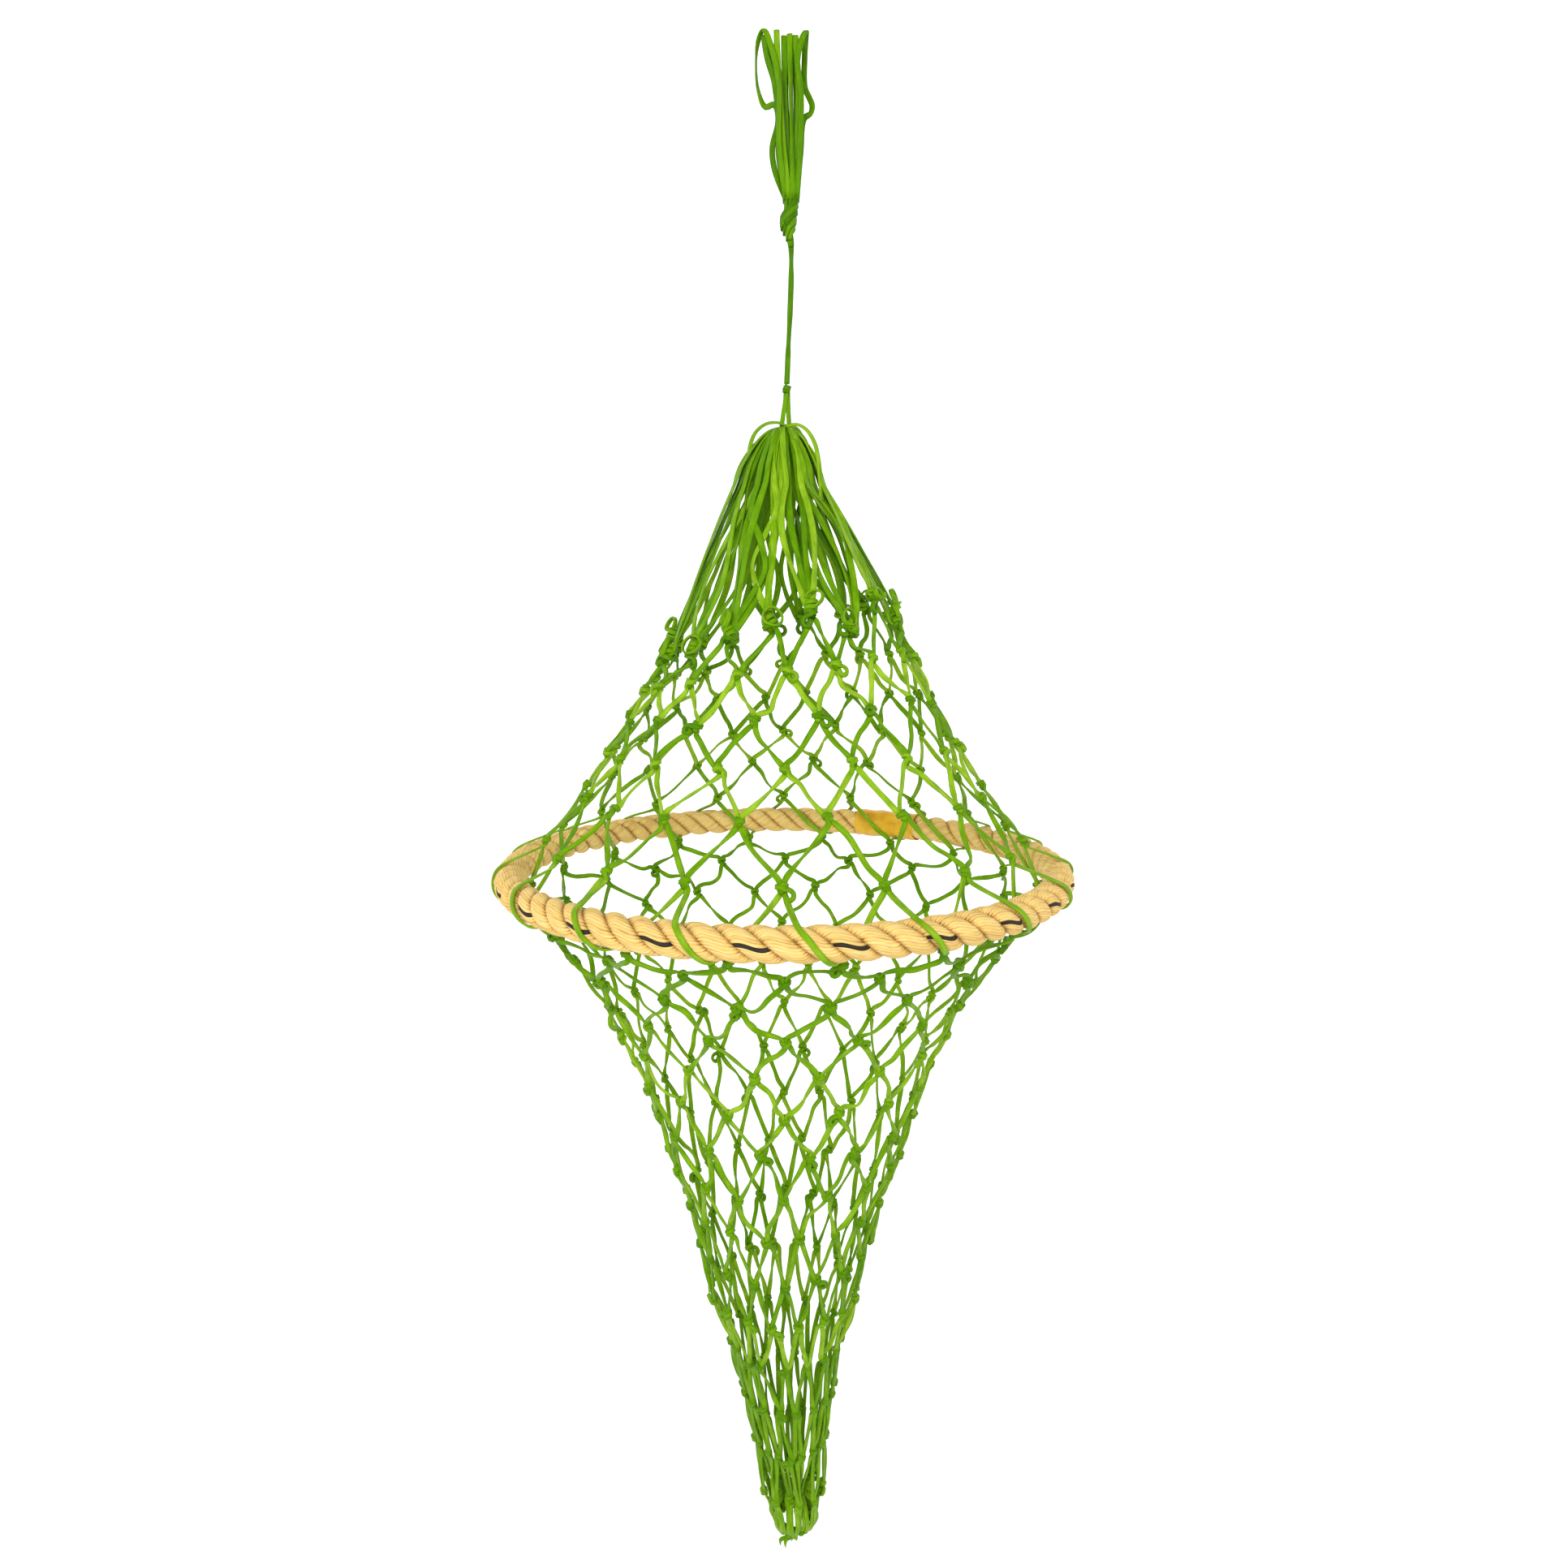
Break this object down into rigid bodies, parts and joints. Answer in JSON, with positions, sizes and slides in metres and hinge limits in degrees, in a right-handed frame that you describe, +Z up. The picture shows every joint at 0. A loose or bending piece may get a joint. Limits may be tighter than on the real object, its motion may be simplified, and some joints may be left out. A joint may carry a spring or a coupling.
{
  "type": "cargo climbing net",
  "caption": "Hanging knotted twine climbing net: loops, knot and cord above a net cone held open by a taped three-strand rope hoop, narrowing to a long closed tail.",
  "frame": {"origin": "where the hanging loops rest on the bar or hook, at the inside of their bights", "axes": "+Z up along the net's axis, +Y away from the viewer of the front, +X to the viewer's right"},
  "size_m": [0.3694, 0.3688, 0.9729],
  "materials": {
    "net_twine": "flat woven polypropylene twine, satin sheen",
    "knot_twine": "tightly packed twine, satin",
    "hoop_rope": "three-strand laid fibre rope with a black tracer yarn",
    "tape": "satin adhesive tape"
  },
  "bodies": {
    "hanger": {"hanging_loop_1": "net_twine", "hanging_loop_2": "net_twine", "hanging_loop_3": "net_twine", "hanging_loop_4": "net_twine", "hanging_loop_5": "net_twine", "hanging_loop_6": "net_twine", "hanging_loop_7": "net_twine", "overhand_knot": "knot_twine"},
    "drop_line": {"drop_cord": "net_twine", "line_knot": "knot_twine"},
    "eye": {"crown_eye": "net_twine"},
    "cone_net": {"crown_seizing": "knot_twine", "clew_strands": "net_twine", "cone_course_1": "net_twine", "cone_course_2": "net_twine", "cone_course_3": "net_twine", "cone_course_4": "net_twine", "cone_course_5": "net_twine", "hoop_course": "net_twine"},
    "hoop": {"rope_strand_1": "hoop_rope", "rope_strand_2": "hoop_rope", "rope_strand_3": "hoop_rope", "tape_sleeve": "tape"},
    "tail": {"tail_course_1": "net_twine", "tail_course_2": "net_twine", "tail_course_3": "net_twine", "tail_course_4": "net_twine", "tail_course_5": "net_twine", "tail_course_6": "net_twine", "tail_course_7": "net_twine", "tail_course_8": "net_twine", "tail_course_9": "net_twine", "tail_course_10": "net_twine", "tail_course_11": "net_twine", "tail_course_12": "net_twine", "tail_course_13": "net_twine", "tail_course_14": "net_twine", "end_loops": "net_twine", "closing_cord": "net_twine", "closing_knot": "knot_twine", "cut_ends": "net_twine"}
  },
  "joints": [
    {"name": "line_swing", "type": "hinge", "parent": "hanger", "child": "drop_line", "pos_m": [0.004, 0, -0.115], "axis": [0, 1, 0], "range_deg": [-45, 45], "deforming": ["drop_cord"]},
    {"name": "net_swing", "type": "hinge", "parent": "drop_line", "child": "eye", "pos_m": [0.0015, 0, -0.195], "axis": [1, 0, 0], "range_deg": [-30, 30]},
    {"name": "net_twist", "type": "hinge", "parent": "eye", "child": "cone_net", "pos_m": [0, 0, -0.217], "axis": [0, 0, 1], "continuous": true},
    {"name": "hoop_turn", "type": "hinge", "parent": "cone_net", "child": "hoop", "pos_m": [0, 0, -0.488], "axis": [0, 0, 1], "range_deg": [-10, 10]},
    {"name": "tail_swing", "type": "hinge", "parent": "cone_net", "child": "tail", "pos_m": [0, 0, -0.488], "axis": [0, 1, 0], "range_deg": [-12, 12], "deforming": ["tail_course_1", "tail_course_2", "tail_course_3", "tail_course_4", "tail_course_5"]}
  ]
}
